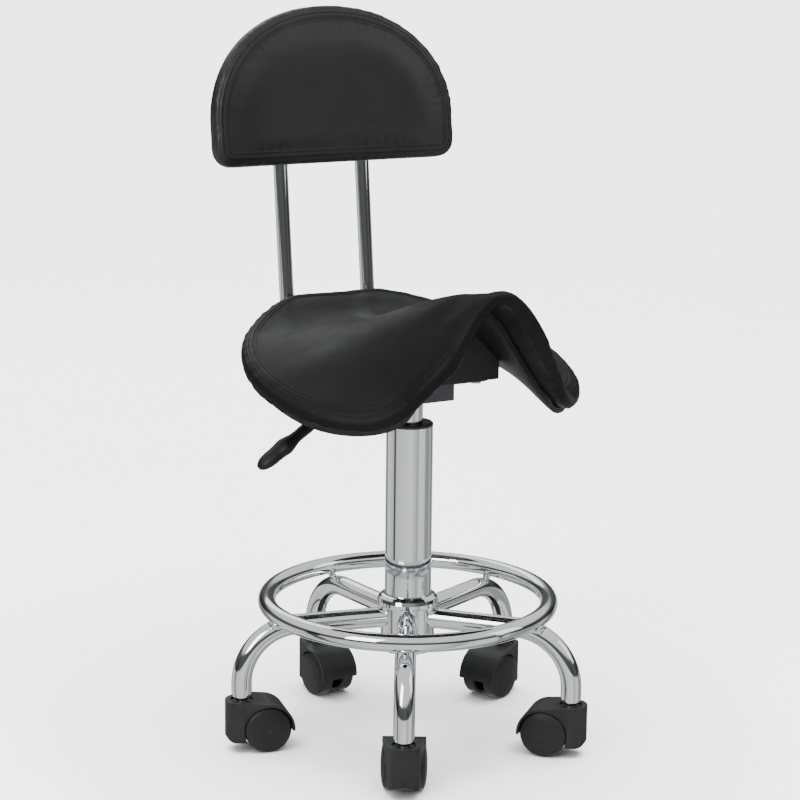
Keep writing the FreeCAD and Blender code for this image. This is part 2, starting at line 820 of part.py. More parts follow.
def housing_solid():
    """The caster housing, its stem on the Z axis and its axle behind it at -trail."""
    r = hood_r
    ax = -trail
    holder_r = holder_d / 2
    k = holder_toe_r * (1 - sqrt(0.5))
    back_turn = radians(-52)
    tail = V(ax - sqrt(r * r - (wheel_z - hood_end_z) ** 2), 0, hood_end_z)
    back = V(ax + r * sin(back_turn), 0, wheel_z + r * cos(back_turn))
    crown = V(ax, 0, wheel_z + r)
    deck = V(-holder_r * 0.55, 0, holder_top_z)
    brow = V(holder_r, 0, holder_top_z)
    toe = V(holder_r, 0, holder_z0 + holder_toe_r)
    toe_arc = V(holder_r - k, 0, holder_z0 + k)
    sole = V(holder_r - holder_toe_r, 0, holder_z0)
    heel = V(-holder_r * 0.6, 0, holder_z0)
    step = V(-holder_r * 0.6, 0, hood_end_z)
    edges = [
        Part.Arc(tail, back, crown).toShape(),
        Part.makeLine(crown, deck),
        Part.makeLine(deck, brow),
        Part.makeLine(brow, toe),
        Part.Arc(toe, toe_arc, sole).toShape(),
        Part.makeLine(sole, heel),
        Part.makeLine(heel, step),
        Part.makeLine(step, tail),
    ]
    side = Part.Face(Part.Wire(edges))
    side.translate(V(0, -2 * holder_r, 0))
    side = side.extrude(V(0, 4 * holder_r, 0))

    # seen from above: the hood narrows to the round stem holder
    far = ax - r - 5.0
    near = ax + 5.0
    wedge = Part.makePolygon([
        V(far, -hood_half_w, 0),
        V(near, -hood_half_w, 0),
        V(0, -holder_r, 0),
        V(0, holder_r, 0),
        V(near, hood_half_w, 0),
        V(far, hood_half_w, 0),
        V(far, -hood_half_w, 0),
    ])
    neck = Part.Face(wedge).extrude(V(0, 0, 2 * holder_top_z))
    post = Part.makeCylinder(holder_r, 2 * holder_top_z)
    body = side.common(join([neck, post]))

    room = wheel_d / 2 + wheel_gap
    for sign in (-1, 1):
        start = V(ax, sign * web_half, wheel_z)
        body = body.cut(tube_between(start, start + V(0, sign * 3 * holder_r, 0), room))
    web = tube_between(V(ax, -web_half, wheel_z), V(ax, web_half, wheel_z), wheel_d / 4)
    body = join([body, web])
    body = body.cut(tube_between(V(ax, -web_half, wheel_z), V(ax, web_half, wheel_z), axle_d / 2))
    body = body.cut(Part.makeCylinder(dish_d / 2, dish_depth, V(0, 0, holder_top_z - dish_depth)))
    return body.cut(Part.makeCylinder(stem_d / 2, holder_top_z, V(0, 0, stem_z0)))


def pins_solid():
    """The chrome stem with its collar, and the wheel axle."""
    top = flange_z - soft_gap
    r = stem_d / 2
    stem = turned((
        (0, stem_z0),
        (r, stem_z0),
        (r, top - collar_t),
        (collar_d / 2, top - collar_t),
        (collar_d / 2, top),
        (r, top),
        (r, stem_z1 - 1.0),
        (r - 1.0, stem_z1),
        (0, stem_z1),
    ))
    reach = tread_edge - 0.8
    axle = tube_between(V(-trail, -reach, wheel_z), V(-trail, reach, wheel_z), axle_d / 2)
    return [stem, axle]


def make_casters():
    """Five twin-wheel casters, trailing towards the hub."""
    housing = housing_solid()
    pins = Part.makeCompound(pins_solid())
    wheel = wheel_solid()
    wheel.translate(V(-trail, 0, wheel_z))
    mirrored = wheel.mirror(V(0, 0, 0), V(0, 1, 0))
    for i in range(leg_count):
        for name, shape in (
            ("caster_housing_%d", housing),
            ("caster_pins_%d", pins),
            ("wheel_%da", wheel),
            ("wheel_%db", mirrored),
        ):
            placed = shape.copy()
            placed.translate(V(stem_radius, 0, 0))
            save(name % (i + 1), to_leg(placed, i))


os.makedirs("parts", exist_ok=True)
make_base()
make_column()
make_piston_rod()
make_gas_cylinder()
make_mechanism()
make_lever()
make_saddle()
make_backrest()
make_casters()
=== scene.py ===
"""Looks of a dentist stool: padded saddle, padded back, stitching, chrome and moulded plastic.

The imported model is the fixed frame. Metres, +Z up, the sitter faces -Y.
"""
import json
import math

import bmesh
import bpy
import numpy as np
from mathutils import Matrix, Vector
from mathutils.bvhtree import BVHTree
from mathutils.kdtree import KDTree


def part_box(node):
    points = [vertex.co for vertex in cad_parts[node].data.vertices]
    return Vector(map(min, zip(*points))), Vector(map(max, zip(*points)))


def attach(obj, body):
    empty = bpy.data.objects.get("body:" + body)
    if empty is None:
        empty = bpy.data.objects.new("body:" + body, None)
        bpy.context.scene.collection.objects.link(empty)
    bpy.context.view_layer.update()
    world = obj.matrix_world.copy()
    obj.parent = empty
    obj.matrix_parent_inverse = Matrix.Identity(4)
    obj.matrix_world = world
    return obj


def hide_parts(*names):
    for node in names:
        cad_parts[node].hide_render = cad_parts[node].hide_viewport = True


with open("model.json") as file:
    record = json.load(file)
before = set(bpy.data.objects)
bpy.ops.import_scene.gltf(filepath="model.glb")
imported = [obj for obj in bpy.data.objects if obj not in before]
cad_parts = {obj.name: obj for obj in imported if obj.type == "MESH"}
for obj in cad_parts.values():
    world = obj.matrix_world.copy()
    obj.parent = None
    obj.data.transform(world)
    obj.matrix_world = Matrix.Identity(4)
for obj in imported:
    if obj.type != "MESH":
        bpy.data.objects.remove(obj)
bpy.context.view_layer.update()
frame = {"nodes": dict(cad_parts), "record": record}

bl_info = {
    "name": "Dentist stool",
    "version": (1, 0, 0),
    "blender": (4, 5, 0),
    "location": "3D View > Sidebar > Stool",
    "description": "Upholstery, stitching and finishes of a saddle stool",
    "category": "Object",
}

SEAT_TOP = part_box("seat_cushion")[1].z
SEED = 7

# Height of each row of a sewn strip over the padding: sunk edges, a groove on each row of
# stitches and a ridge between them.
SADDLE_STRIP = (-0.0009, 0.0001, 0.0009, 0.0002, 0.0010, 0.0013, 0.0010, 0.0002, 0.0009, 0.0001, -0.0009)
BACK_STRIP = (-0.0009, 0.0001, 0.0008, 0.0001, 0.0008, 0.0011, 0.0008, 0.0001, 0.0008, 0.0001, -0.0009)
STITCH_ROWS = (3, 7)
STITCH_LIFT = 0.0004
STRIP_MARGIN = 0.003
STRIP_WALL = 0.0012


# ---- node helpers -------------------------------------------------------------------------

class Shader:
    """A material's node tree, with short calls for what every finish uses."""

    def __init__(self, name):
        self.material = bpy.data.materials.new(name)
        self.material.use_nodes = True
        self.tree = self.material.node_tree
        self.surface = self.tree.nodes["Principled BSDF"]
        coords = self.tree.nodes.new("ShaderNodeTexCoord")
        self.place = coords.outputs["Object"]

    def node(self, kind, links=(), **values):
        """A node with its properties and sockets set, and its inputs linked."""
        made = self.tree.nodes.new(kind)
        for key, value in values.items():
            if hasattr(made, key):
                setattr(made, key, value)
            else:
                made.inputs[key.replace("_", " ")].default_value = value
        for key, source in links:
            self.tree.links.new(source, made.inputs[key])
        return made

    def link(self, source, target):
        self.tree.links.new(source, self.surface.inputs[target])

    def noise(self, scale, detail=3.0, rough=0.5, vector=None):
        made = self.node("ShaderNodeTexNoise", [("Vector", vector or self.place)])
        made.inputs["Scale"].default_value = scale
        made.inputs["Detail"].default_value = detail
        made.inputs["Roughness"].default_value = rough
        return made.outputs["Fac"]

    def cells(self, scale, feature="DISTANCE_TO_EDGE", vector=None):
        made = self.node("ShaderNodeTexVoronoi", [("Vector", vector or self.place)])
        made.feature = feature
        made.inputs["Scale"].default_value = scale
        return made.outputs["Distance"]

    def remap(self, source, low, high, to_low, to_high):
        made = self.node("ShaderNodeMapRange", [("Value", source)])
        for key, value in (("From Min", low), ("From Max", high), ("To Min", to_low), ("To Max", to_high)):
            made.inputs[key].default_value = value
        return made.outputs["Result"]

    def math(self, operation, a, b):
        made = self.tree.nodes.new("ShaderNodeMath")
        made.operation = operation
        for k, value in enumerate((a, b)):
            if isinstance(value, (int, float)):
                made.inputs[k].default_value = value
            else:
                self.tree.links.new(value, made.inputs[k])
        return made.outputs[0]

    def blend(self, factor, a, b):
        made = self.tree.nodes.new("ShaderNodeMix")
        made.data_type = "RGBA"
        self.tree.links.new(factor, made.inputs["Factor"])
        made.inputs["A"].default_value = (*a, 1.0)
        made.inputs["B"].default_value = (*b, 1.0)
        return made.outputs["Result"]

    def bump(self, height, strength, distance, below=None):
        made = self.node("ShaderNodeBump", [("Height", height)])
        made.inputs["Strength"].default_value = strength
        made.inputs["Distance"].default_value = distance
        if below is not None:
            self.tree.links.new(below, made.inputs["Normal"])
        return made.outputs["Normal"]

    def attribute(self, name):
        made = self.tree.nodes.new("ShaderNodeAttribute")
        made.attribute_name = name
        return made.outputs["Fac"]

    def edge_wear(self):
        """0 on flat stretches, rising on worn outer edges."""
        made = self.tree.nodes.new("ShaderNodeNewGeometry")
        return self.remap(made.outputs["Pointiness"], 0.52, 0.62, 0.0, 1.0)


def scaled(colour, k):
    return tuple(min(1.0, c * k) for c in colour)


# ---- finishes -----------------------------------------------------------------------------

def leatherette(name, colour, grain, gloss):
    """Black vinyl upholstery: fine pebbled grain, faint creases near the seams, satin gloss."""
    s = Shader(name)
    pebble = s.cells(1.0 / grain)
    soft = s.noise(2.2 / grain, 2.0)
    cloud = s.noise(14.0, 4.0, 0.55)
    seam = s.attribute("seam")
    tone = s.remap(cloud, 0.3, 0.7, 0.0, 1.0)
    worn = s.math("MAXIMUM", tone, s.edge_wear())
    s.link(s.blend(worn, scaled(colour, 0.8), scaled(colour, 1.3)), "Base Color")
    sheen = s.remap(s.noise(38.0, 3.0), 0.25, 0.75, 0.36, 0.47)
    s.link(s.math("ADD", sheen, s.math("MULTIPLY", seam, 0.06)), "Roughness")
    height = s.math("ADD", s.remap(pebble, 0.0, 0.35, 0.0, 1.0), s.math("MULTIPLY", soft, 0.6))
    fine = s.bump(height, 0.22, grain * 0.16)
    crease = s.noise(95.0, 4.0, 0.6)
    puckers = s.math("MULTIPLY", crease, s.math("ADD", 0.12, seam))
    s.link(s.bump(puckers, 0.35, 0.0012, below=fine), "Normal")
    s.surface.inputs["Specular IOR Level"].default_value = gloss
    return s.material


def chrome(name, colour, roughness):
    """Polished chrome plate with faint polishing marks and finger smears."""
    s = Shader(name)
    smear = s.noise(11.0, 4.0, 0.6)
    fleck = s.noise(420.0, 2.0)
    s.link(s.blend(s.remap(smear, 0.35, 0.75, 0.0, 1.0), colour, scaled(colour, 0.93)), "Base Color")
    dull = s.remap(smear, 0.45, 0.8, roughness, roughness + 0.05)
    s.link(s.math("ADD", dull, s.remap(fleck, 0.6, 0.9, 0.0, 0.03)), "Roughness")
    ripple = s.noise(26.0, 2.0)
    s.link(s.bump(ripple, 0.05, 0.0008), "Normal")
    s.surface.inputs["Metallic"].default_value = 1.0
    return s.material


def zinc_steel(name, colour, roughness):
    """Zinc-plated steel with drawn marks and slight mottling."""
    s = Shader(name)
    stretched = s.node("ShaderNodeMapping", [("Vector", s.place)])
    stretched.inputs["Scale"].default_value = (1.0, 1.0, 0.08)
    drawn = s.noise(900.0, 2.0, 0.5, stretched.outputs["Vector"])
    mottle = s.noise(60.0, 4.0)
    tone = s.remap(mottle, 0.3, 0.7, 0.0, 1.0)
    s.link(s.blend(tone, scaled(colour, 0.85), scaled(colour, 1.1)), "Base Color")
    s.link(s.remap(drawn, 0.3, 0.7, roughness - 0.06, roughness + 0.08), "Roughness")
    s.link(s.bump(drawn, 0.15, 0.0002), "Normal")
    s.surface.inputs["Metallic"].default_value = 1.0
    return s.material


def moulded_plastic(name, colour, roughness, texture):
    """Spark-eroded moulded nylon: fine even texture, paler on rubbed edges."""
    s = Shader(name)
    grit = s.noise(1.0 / texture, 2.0, 0.6)
    flow = s.noise(22.0, 3.0)
    rubbed = s.math("MULTIPLY", s.edge_wear(), s.remap(flow, 0.35, 0.65, 0.2, 1.0))
    s.link(s.blend(rubbed, colour, scaled(colour, 2.0)), "Base Color")
    s.link(s.remap(flow, 0.3, 0.7, roughness - 0.05, roughness + 0.06), "Roughness")
    s.link(s.bump(grit, 0.3, texture * 0.25), "Normal")
    s.surface.inputs["Specular IOR Level"].default_value = 0.3
    return s.material


def powder_coat(name, colour):
    """Black powder coat with its orange-peel surface."""
    s = Shader(name)
    peel = s.noise(700.0, 2.0)
    dust = s.noise(35.0, 4.0)
    s.link(s.blend(s.remap(dust, 0.4, 0.75, 0.0, 1.0), colour, scaled(colour, 1.7)), "Base Color")
    s.link(s.remap(dust, 0.3, 0.7, 0.38, 0.5), "Roughness")
    s.link(s.bump(peel, 0.25, 0.0003), "Normal")
    return s.material


def plywood(name, colour):
    """Birch plywood: long grain on the faces and ply lines at the edges."""
    s = Shader(name)
    along = s.node("ShaderNodeMapping", [("Vector", s.place)])
    along.inputs["Scale"].default_value = (1.0, 0.06, 1.0)
    grain = s.noise(260.0, 4.0, 0.65, along.outputs["Vector"])
    parts = s.node("ShaderNodeSeparateXYZ", [("Vector", s.place)])
    plies = s.math("SINE", s.math("MULTIPLY", parts.outputs["Z"], 4200.0), 0.0)
    tone = s.math("ADD", s.math("MULTIPLY", grain, 0.8), s.math("MULTIPLY", plies, 0.12))
    shade = s.remap(tone, 0.2, 0.7, 0.0, 1.0)
    s.link(s.blend(shade, scaled(colour, 0.7), scaled(colour, 1.25)), "Base Color")
    s.link(s.remap(grain, 0.3, 0.7, 0.6, 0.75), "Roughness")
    s.link(s.bump(grain, 0.3, 0.0002), "Normal")
    return s.material


def thread(name, colour):
    """Bonded nylon sewing thread with a twist."""
    s = Shader(name)
    twist = s.noise(2600.0, 1.0)
    s.link(s.blend(twist, scaled(colour, 0.7), scaled(colour, 1.5)), "Base Color")
    s.link(s.remap(twist, 0.3, 0.7, 0.45, 0.6), "Roughness")
    s.link(s.bump(twist, 0.4, 0.0001), "Normal")
    s.surface.inputs["Specular IOR Level"].default_value = 0.2
    return s.material


def finishes():
    """One material for each of the record's slots, made once."""
    p = bpy.context.scene.stool_finish
    make = {
        # Seat and back are one vinyl. The back's copy is painted 1.3 times paler and given more gloss as
        # painted light, and the seat's darker, duller copy is painted shade against the light from
        # overhead.
        "seat_leatherette": lambda n: leatherette(n, p.leather, p.grain, 0.09),
        "back_leatherette": lambda n: leatherette(n, scaled(p.leather, 1.3), p.grain, 0.5),
        "chrome_tube": lambda n: chrome(n, p.chrome, p.chrome_roughness),
        "cylinder": lambda n: chrome(n, scaled(p.chrome, 0.94), p.chrome_roughness + 0.1),
        "caster_pin": lambda n: chrome(n, p.chrome, p.chrome_roughness + 0.05),
        "steel": lambda n: zinc_steel(n, (0.42, 0.43, 0.45), 0.34),
        "screws": lambda n: zinc_steel(n, (0.5, 0.5, 0.52), 0.28),
        "pressed_steel": lambda n: powder_coat(n, (0.016, 0.016, 0.018)),
        "bush_plastic": lambda n: moulded_plastic(n, (0.012, 0.012, 0.013), 0.36, 0.0005),
        "rubber": lambda n: moulded_plastic(n, (0.02, 0.02, 0.02), 0.7, 0.0006),
        "shell_plastic": lambda n: moulded_plastic(n, p.plastic, 0.48, 0.0009),
        "lever_plastic": lambda n: moulded_plastic(n, scaled(p.plastic, 0.75), 0.44, 0.0007),
        "caster_plastic": lambda n: moulded_plastic(n, scaled(p.plastic, 1.25), 0.46, 0.0006),
        "wheel_plastic": lambda n: moulded_plastic(n, scaled(p.plastic, 1.6), 0.4, 0.0006),
        "plywood": lambda n: plywood(n, (0.45, 0.32, 0.2)),
        "stained_block": lambda n: plywood(n, (0.006, 0.006, 0.0062)),
        "thread": lambda n: thread(n, (0.004, 0.004, 0.0042)),
    }
    found = bpy.data.materials
    return {slot: found.get(slot + "_finish") or build(slot + "_finish") for slot, build in make.items()}


# ---- mesh helpers -------------------------------------------------------------------------

def mesh_object(name, vertices, faces, smooth=True):
    mesh = bpy.data.meshes.new(name)
    mesh.from_pydata([tuple(v) for v in vertices], [], faces)
    mesh.update()
    bm = bmesh.new()
    bm.from_mesh(mesh)
    bmesh.ops.recalc_face_normals(bm, faces=bm.faces)
    bm.to_mesh(mesh)
    bm.free()
    mesh.polygons.foreach_set("use_smooth", [smooth] * len(mesh.polygons))
    made = bpy.data.objects.new(name, mesh)
    bpy.context.scene.collection.objects.link(made)
    return made


def node_copy(node, name):
    """A merged copy of a CAD node's mesh as a new object."""
    bm = bmesh.new()
    bm.from_mesh(frame["nodes"][node].data)
    bmesh.ops.remove_doubles(bm, verts=bm.verts, dist=1e-6)
    mesh = bpy.data.meshes.new(name)
    bm.to_mesh(mesh)
    bm.free()
    made = bpy.data.objects.new(name, mesh)
    bpy.context.scene.collection.objects.link(made)
    return made


def points_of(obj):
    co = np.empty(len(obj.data.vertices) * 3, np.float64)
    obj.data.vertices.foreach_get("co", co)
    return co.reshape(-1, 3)


def set_points(obj, co):
    obj.data.vertices.foreach_set("co", co.astype(np.float32).ravel())
    obj.data.update()


def bake(obj):
    """Apply every modifier, leaving a plain mesh."""
    graph = bpy.context.evaluated_depsgraph_get()
    mesh = bpy.data.meshes.new_from_object(obj.evaluated_get(graph), depsgraph=graph)
    mesh.name = obj.name
    obj.modifiers.clear()
    obj.data = mesh
    return obj


def remesh(obj, voxel):
    made = obj.modifiers.new("remesh", "REMESH")
    made.mode = "VOXEL"
    made.voxel_size = voxel
    return bake(obj)


def relax(obj, steps, factor=0.5):
    made = obj.modifiers.new("smooth", "SMOOTH")
    made.iterations = steps
    made.factor = factor
    return bake(obj)


def subdivide(obj, levels=1):
    made = obj.modifiers.new("subdivide", "SUBSURF")
    made.levels = levels
    made.render_levels = levels
    return bake(obj)


def spread(obj, values, steps):
    """Average a value at each point with its neighbours' values."""
    edges = np.empty(len(obj.data.edges) * 2, np.int32)
    obj.data.edges.foreach_get("vertices", edges)
    first, second = edges.reshape(-1, 2).T
    count = np.bincount(edges, minlength=len(values))[:, None]
    for _ in range(steps):
        total = np.zeros_like(values)
        np.add.at(total, first, values[second])
        np.add.at(total, second, values[first])
        values = (values + total / np.maximum(count, 1)) / 2
    return values


def inflate(obj, pressure, cap, free, frames=20):
    """Let air pressure tighten the cover: no point moves further than the cap, or at all where
    free is 0, and the short wrinkles of a coarse cloth are spread out."""
    start = points_of(obj)
    cloth = obj.modifiers.new("cloth", "CLOTH")
    cloth.settings.quality = 5
    cloth.settings.mass = 0.3
    cloth.settings.tension_stiffness = 25
    cloth.settings.compression_stiffness = 25
    cloth.settings.bending_stiffness = 1.5
    cloth.settings.use_pressure = True
    cloth.settings.uniform_pressure_force = pressure
    cloth.settings.effector_weights.gravity = 0
    cloth.point_cache.frame_start = 1
    cloth.point_cache.frame_end = frames
    scene = bpy.context.scene
    for step in range(1, frames + 1):
        scene.frame_set(step)
    graph = bpy.context.evaluated_depsgraph_get()
    simulated = obj.evaluated_get(graph)
    end = np.array([v.co for v in simulated.data.vertices])
    obj.modifiers.clear()
    scene.frame_set(1)
    move = end - start
    length = np.linalg.norm(move, axis=1, keepdims=True)
    limited = move * np.minimum(1.0, cap / np.maximum(length, 1e-9)) * free[:, None]
    set_points(obj, start + spread(obj, limited, 24))
    return obj


def tree_of(obj):
    obj.data.calc_loop_triangles()
    triangles = [tuple(t.vertices) for t in obj.data.loop_triangles]
    return BVHTree.FromPolygons([v.co.copy() for v in obj.data.vertices], triangles)


def resample(points, count):
    """Points at even spacing round a closed polyline."""
    line = np.vstack([points, points[:1]])
    step = np.linalg.norm(np.diff(line, axis=0), axis=1)
    along = np.concatenate(([0.0], np.cumsum(step)))
    places = np.linspace(0.0, along[-1], count, endpoint=False)
    return np.stack([np.interp(places, along, line[:, k]) for k in range(line.shape[1])], 1)


def finish_piece(obj, material, slot, body, *replaced):
    """Give a made piece its finish and the body that it moves with, and hide the parts that it replaces;
    the slot argument is not used.
    """
    obj.data.materials.clear()
    obj.data.materials.append(material)
    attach(obj, body)
    if replaced:
        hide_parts(*replaced)


# ---- Geometry Nodes: a stitch repeated along a path -----------------------------------------

def stitch_tree(material):
    """Short rounded stitches along a curve, tilted to the surface it lies on."""
    tree = bpy.data.node_groups.new("stitches", "GeometryNodeTree")
    face = tree.interface
    face.new_socket("Path", in_out="INPUT", socket_type="NodeSocketGeometry")
    for label, value in (("Pitch", 0.0042), ("Length", 0.0031), ("Thread", 0.0009)):
        made = face.new_socket(label, in_out="INPUT", socket_type="NodeSocketFloat")
        made.default_value = value
        made.subtype = "DISTANCE"
    face.new_socket("Seed", in_out="INPUT", socket_type="NodeSocketInt")
    face.new_socket("Stitches", in_out="OUTPUT", socket_type="NodeSocketGeometry")
    new = tree.nodes.new
    link = tree.links.new
    given = new("NodeGroupInput").outputs
    spaced = new("GeometryNodeCurveToPoints")
    spaced.mode = "LENGTH"
    link(given["Path"], spaced.inputs["Curve"])
    link(given["Pitch"], spaced.inputs["Length"])
    bead = new("GeometryNodeMeshUVSphere")
    bead.inputs["Segments"].default_value = 8
    bead.inputs["Rings"].default_value = 5
    bead.inputs["Radius"].default_value = 0.5
    size = new("ShaderNodeCombineXYZ")
    link(given["Thread"], size.inputs["X"])
    link(given["Thread"], size.inputs["Y"])
    link(given["Length"], size.inputs["Z"])
    jitter = new("FunctionNodeRandomValue")
    jitter.data_type = "FLOAT"
    jitter.inputs[2].default_value = 0.9
    jitter.inputs[3].default_value = 1.1
    link(given["Seed"], jitter.inputs["Seed"])
    vary = new("ShaderNodeVectorMath")
    vary.operation = "SCALE"
    link(size.outputs[0], vary.inputs[0])
    link(jitter.outputs[1], vary.inputs["Scale"])
    placed = new("GeometryNodeInstanceOnPoints")
    link(spaced.outputs["Points"], placed.inputs["Points"])
    link(bead.outputs["Mesh"], placed.inputs["Instance"])
    link(spaced.outputs["Rotation"], placed.inputs["Rotation"])
    link(vary.outputs[0], placed.inputs["Scale"])
    real = new("GeometryNodeRealizeInstances")
    link(placed.outputs["Instances"], real.inputs["Geometry"])
    smooth = new("GeometryNodeSetShadeSmooth")
    link(real.outputs["Geometry"], smooth.inputs["Geometry"])
    finish = new("GeometryNodeSetMaterial")
    finish.inputs["Material"].default_value = material
    link(smooth.outputs[0], finish.inputs["Geometry"])
    link(finish.outputs["Geometry"], new("NodeGroupOutput").inputs["Stitches"])
    return tree


def run_tree(name, tree, paths, values):
    """Run a node tree on closed curves through the paths, and return one plain mesh object."""
    curve = bpy.data.curves.new(name + "_path", "CURVE")
    curve.dimensions = "3D"
    for path in paths:
        line = curve.splines.new("POLY")
        line.points.add(len(path) - 1)
        line.points.foreach_set("co", np.hstack([path, np.ones((len(path), 1))]).ravel())
        line.use_cyclic_u = True
    carrier = bpy.data.objects.new(name + "_path", curve)
    bpy.context.scene.collection.objects.link(carrier)
    modifier = carrier.modifiers.new("tree", "NODES")
    modifier.node_group = tree
    sockets = {s.name: s.identifier for s in tree.interface.items_tree if s.in_out == "INPUT"}
    for label, value in values.items():
        modifier[sockets[label]] = value
    graph = bpy.context.evaluated_depsgraph_get()
    mesh = bpy.data.meshes.new_from_object(carrier.evaluated_get(graph), depsgraph=graph)
    carrier.modifiers.remove(modifier)
    bpy.data.objects.remove(carrier)
    bpy.data.curves.remove(curve)
    mesh.name = name
    made = bpy.data.objects.new(name, mesh)
    bpy.context.scene.collection.objects.link(made)
    return made


# ---- seams that follow a surface ------------------------------------------------------------

def drape(tree, rows, direction, start):
    """Cast each point of the rows onto the surface; gives places and normals."""
    down = Vector(direction).normalized()
    places = []
    normals = []
    for row in rows:
        hits = [tree.ray_cast(Vector(p) - down * start, down) for p in row]
        if any(hit[0] is None for hit in hits):
            raise RuntimeError("a seam runs off the padding it is sewn to")
        places.append([hit[0] for hit in hits])
        normals.append([hit[1] if hit[1].dot(down) < 0 else -hit[1] for hit in hits])
    return np.array(places), np.array(normals)


def even_out(values, steps):
    """Average neighbours round a path, to take out the facets of the surface below."""
    for _ in range(steps):
        values = (np.roll(values, 1, 0) + 2 * values + np.roll(values, -1, 0)) / 4
    return values


def inward_of(line, steps):
    """Unit directions square to a closed flat path, on the left of its run."""
    along = np.roll(line, -1, 0) - np.roll(line, 1, 0)
    along = even_out(along / np.linalg.norm(along, axis=1, keepdims=True), steps)
    along /= np.linalg.norm(along, axis=1, keepdims=True)
    return np.stack([-along[:, 1], along[:, 0]], 1)


def seam_strip(name, places, normals, heights):
    """A sewn strip: each row of the grid lifted by its height above the padding."""
    rows, count = places.shape[:2]
    normals = normals / np.linalg.norm(normals, axis=2, keepdims=True)
    lifted = places + normals * np.array(heights)[:, None, None]
    vertices = lifted.reshape(-1, 3)
    faces = []
    for r in range(rows - 1):
        for c in range(count):
            d = (c + 1) % count
            faces.append((r * count + c, r * count + d, (r + 1) * count + d, (r + 1) * count + c))
    made = mesh_object(name, vertices, faces)
    solid = made.modifiers.new("wall", "SOLIDIFY")
    solid.thickness = STRIP_WALL
    solid.offset = -1.0
    return bake(made)


# ---- sizes and colours a user would change ------------------------------------------------

class StoolFinish(bpy.types.PropertyGroup):
    """Colours and surface sizes."""

    leather: bpy.props.FloatVectorProperty(
        name="Leatherette", description="Colour of the upholstery", subtype="COLOR",
        size=3, min=0.0, max=1.0, default=(0.0036, 0.0036, 0.0038))
    grain: bpy.props.FloatProperty(
        name="Grain", description="Size of one pebble of the grain", unit="LENGTH",
        default=0.0011, min=0.0003, max=0.005)
    chrome: bpy.props.FloatVectorProperty(
        name="Chrome", description="Colour of the plated tubes", subtype="COLOR",
        size=3, min=0.0, max=1.0, default=(0.86, 0.865, 0.875))
    chrome_roughness: bpy.props.FloatProperty(
        name="Chrome roughness", description="Blur of the reflections in the plate",
        default=0.045, min=0.0, max=0.5)
    plastic: bpy.props.FloatVectorProperty(
        name="Plastic", description="Colour of the moulded parts", subtype="COLOR",
        size=3, min=0.0, max=1.0, default=(0.0055, 0.0055, 0.0058))


class StoolPadding(bpy.types.PropertyGroup):
    """Padding, seams and stitches."""

    voxel: bpy.props.FloatProperty(
        name="Cloth grid", description="Size of one cell of the simulated cover",
        unit="LENGTH", default=0.0044, min=0.003, max=0.01)
    pressure: bpy.props.FloatProperty(
        name="Pressure", description="How hard the foam pushes on the cover", default=4.0)
    saddle_cap: bpy.props.FloatProperty(
        name="Saddle swell", description="Furthest that the saddle's cover may move",
        unit="LENGTH", default=0.003, min=0.0, max=0.03)
    back_cap: bpy.props.FloatProperty(
        name="Back swell", description="Furthest that the back's cover may move",
        unit="LENGTH", default=0.006, min=0.0, max=0.03)
    seam_inset: bpy.props.FloatProperty(
        name="Seam inset", description="Outer stitch row's distance from the edge",
        unit="LENGTH", default=0.0065, min=0.003, max=0.03)
    seam_width: bpy.props.FloatProperty(
        name="Seam width", description="Distance between the two stitch rows",
        unit="LENGTH", default=0.0085, min=0.003, max=0.02)
    stitch_pitch: bpy.props.FloatProperty(
        name="Stitch pitch", description="From one stitch to the next", unit="LENGTH",
        default=0.0042, min=0.002, max=0.01)
    lean: bpy.props.FloatProperty(
        name="Backrest lean", description="Backward lean of the back pad", subtype="ANGLE",
        default=math.radians(6.16), min=0.0, max=0.5)
    rear_roll: bpy.props.FloatProperty(
        name="Rear edge", description="Width over which the rear of the back pad thins to its edge",
        unit="LENGTH", default=0.045, min=0.01, max=0.12)
    rim_thickness: bpy.props.FloatProperty(
        name="Rim thickness", description="Back pad's thickness at its edge", unit="LENGTH",
        default=0.016, min=0.004, max=0.05)
    rim_back: bpy.props.FloatProperty(
        name="Rim set-back", description="How far the rim lies behind the front face",
        unit="LENGTH", default=0.003, min=0.0, max=0.02)
    crown: bpy.props.FloatProperty(
        name="Crown", description="How far the front face swells forward in its middle",
        unit="LENGTH", default=0.004, min=0.0, max=0.02)
    rim_hold: bpy.props.FloatProperty(
        name="Rim hold", description="Width inside an edge over which the cover is held by its seam",
        unit="LENGTH", default=0.028, min=0.005, max=0.08)
    outline_grow: bpy.props.FloatProperty(
        name="Cutting allowance", description="Extra at the edge, taken up as the cover rounds",
        unit="LENGTH", default=0.0022, min=0.0, max=0.01)
    back_inset: bpy.props.FloatProperty(
        name="Back seam inset", description="Outer stitch row's distance from the back pad's edge",
        unit="LENGTH", default=0.0045, min=0.002, max=0.03)
    edge_roll: bpy.props.FloatProperty(
        name="Back edge", description="Width over which the back pad thins to its edge",
        unit="LENGTH", default=0.075, min=0.01, max=0.12)


